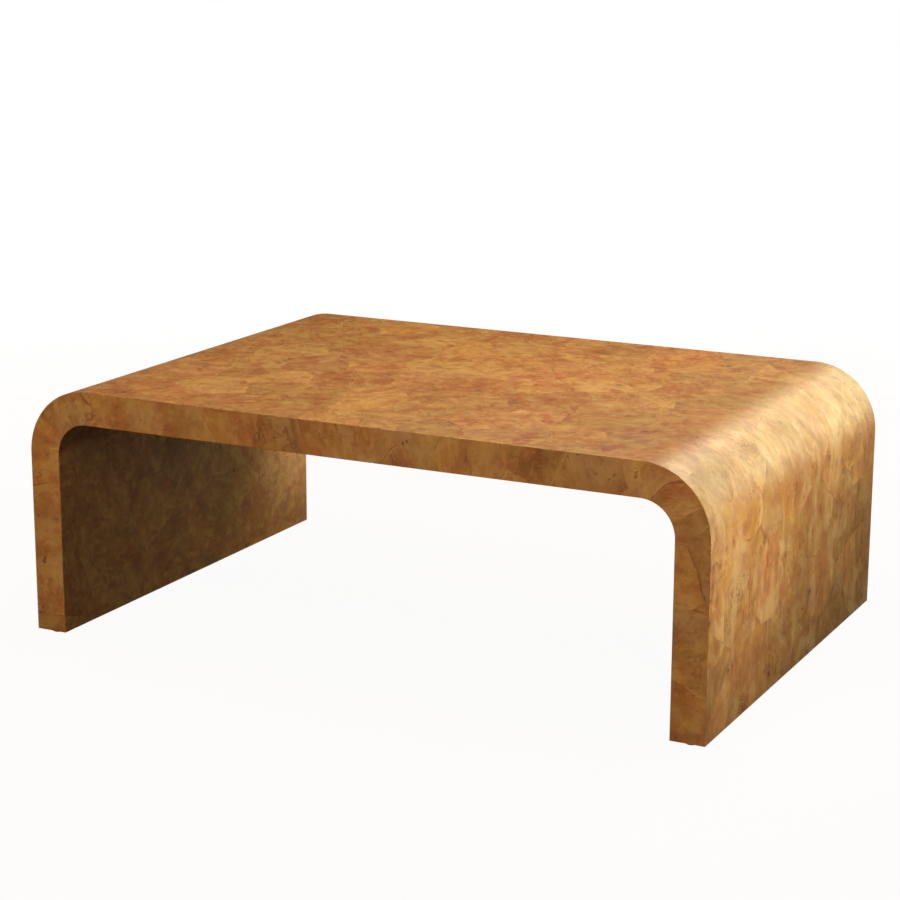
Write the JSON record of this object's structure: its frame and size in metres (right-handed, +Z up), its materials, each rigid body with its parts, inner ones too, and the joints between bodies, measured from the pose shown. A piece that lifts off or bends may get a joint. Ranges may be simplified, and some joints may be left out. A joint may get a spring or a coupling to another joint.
{
  "type": "coffee table",
  "caption": "Low waterfall coffee table: a thick slab bent down at both ends into full-depth legs, covered in patchwork burl veneer, on levelling glides.",
  "frame": {"origin": "on the floor, under the middle of the table", "axes": "+X along the table, +Y from the front to the back, +Z up"},
  "size_m": [1.219, 0.813, 0.432],
  "materials": {
    "burl_veneer": "satin",
    "plywood": "matte",
    "frame_pine": "matte",
    "tenon_beech": "matte",
    "insert_brass": "satin",
    "stud_steel": "satin",
    "pad_nylon": "matte"
  },
  "bodies": {
    "table": {"back_edge_veneer_leaves": "burl_veneer", "foot_tenons": "tenon_beech", "front_edge_veneer_leaves": "burl_veneer", "glide_inserts": "insert_brass", "inner_veneer_leaves": "burl_veneer", "left_bend_inner_skin": "plywood", "left_bend_outer_skin": "plywood", "left_corner_rib_1": "frame_pine", "left_corner_rib_2": "frame_pine", "left_corner_rib_3": "frame_pine", "left_corner_rib_4": "frame_pine", "left_foot_rail": "frame_pine", "left_leg_inner_skin": "plywood", "left_leg_outer_skin": "plywood", "left_leg_rail": "frame_pine", "left_leg_stringer_1": "frame_pine", "left_leg_stringer_2": "frame_pine", "left_leg_stringer_3": "frame_pine", "left_leg_stringer_4": "frame_pine", "left_top_rail": "frame_pine", "outer_veneer_leaves": "burl_veneer", "right_bend_inner_skin": "plywood", "right_bend_outer_skin": "plywood", "right_corner_rib_1": "frame_pine", "right_corner_rib_2": "frame_pine", "right_corner_rib_3": "frame_pine", "right_corner_rib_4": "frame_pine", "right_foot_rail": "frame_pine", "right_leg_inner_skin": "plywood", "right_leg_outer_skin": "plywood", "right_leg_rail": "frame_pine", "right_leg_stringer_1": "frame_pine", "right_leg_stringer_2": "frame_pine", "right_leg_stringer_3": "frame_pine", "right_leg_stringer_4": "frame_pine", "right_top_rail": "frame_pine", "through_tenons": "tenon_beech", "top_skin": "plywood", "top_stringer_1": "frame_pine", "top_stringer_2": "frame_pine", "top_stringer_3": "frame_pine", "top_stringer_4": "frame_pine", "underside_skin": "plywood"},
    "front_left_glide_pad": {"front_left_glide_pad": "pad_nylon"},
    "front_left_glide_stud": {"front_left_glide_stud": "stud_steel"},
    "front_right_glide_pad": {"front_right_glide_pad": "pad_nylon"},
    "front_right_glide_stud": {"front_right_glide_stud": "stud_steel"},
    "back_left_glide_pad": {"back_left_glide_pad": "pad_nylon"},
    "back_left_glide_stud": {"back_left_glide_stud": "stud_steel"},
    "back_right_glide_pad": {"back_right_glide_pad": "pad_nylon"},
    "back_right_glide_stud": {"back_right_glide_stud": "stud_steel"}
  },
  "joints": [
    {"name": "front_left_pad_travel", "type": "slide", "parent": "table", "child": "front_left_glide_pad", "axis": [0, 0, -1], "range_m": [0, 0.01]},
    {"name": "front_left_stud_turn", "type": "hinge", "parent": "front_left_glide_pad", "child": "front_left_glide_stud", "pos_m": [-0.581, -0.3865, 0.0037], "axis": [0, 0, -1], "range_deg": [0, 3600]},
    {"name": "front_right_pad_travel", "type": "slide", "parent": "table", "child": "front_right_glide_pad", "axis": [0, 0, -1], "range_m": [0, 0.01]},
    {"name": "front_right_stud_turn", "type": "hinge", "parent": "front_right_glide_pad", "child": "front_right_glide_stud", "pos_m": [0.581, -0.3865, 0.0037], "axis": [0, 0, -1], "range_deg": [0, 3600]},
    {"name": "back_left_pad_travel", "type": "slide", "parent": "table", "child": "back_left_glide_pad", "axis": [0, 0, -1], "range_m": [0, 0.01]},
    {"name": "back_left_stud_turn", "type": "hinge", "parent": "back_left_glide_pad", "child": "back_left_glide_stud", "pos_m": [-0.581, 0.3865, 0.0037], "axis": [0, 0, -1], "range_deg": [0, 3600]},
    {"name": "back_right_pad_travel", "type": "slide", "parent": "table", "child": "back_right_glide_pad", "axis": [0, 0, -1], "range_m": [0, 0.01]},
    {"name": "back_right_stud_turn", "type": "hinge", "parent": "back_right_glide_pad", "child": "back_right_glide_stud", "pos_m": [0.581, 0.3865, 0.0037], "axis": [0, 0, -1], "range_deg": [0, 3600]}
  ],
  "couplings": [
    {"joint": "front_left_stud_turn", "follows": "front_left_pad_travel", "rad_per_m": 6283.2},
    {"joint": "front_right_stud_turn", "follows": "front_right_pad_travel", "rad_per_m": 6283.2},
    {"joint": "back_left_stud_turn", "follows": "back_left_pad_travel", "rad_per_m": 6283.2},
    {"joint": "back_right_stud_turn", "follows": "back_right_pad_travel", "rad_per_m": 6283.2}
  ]
}
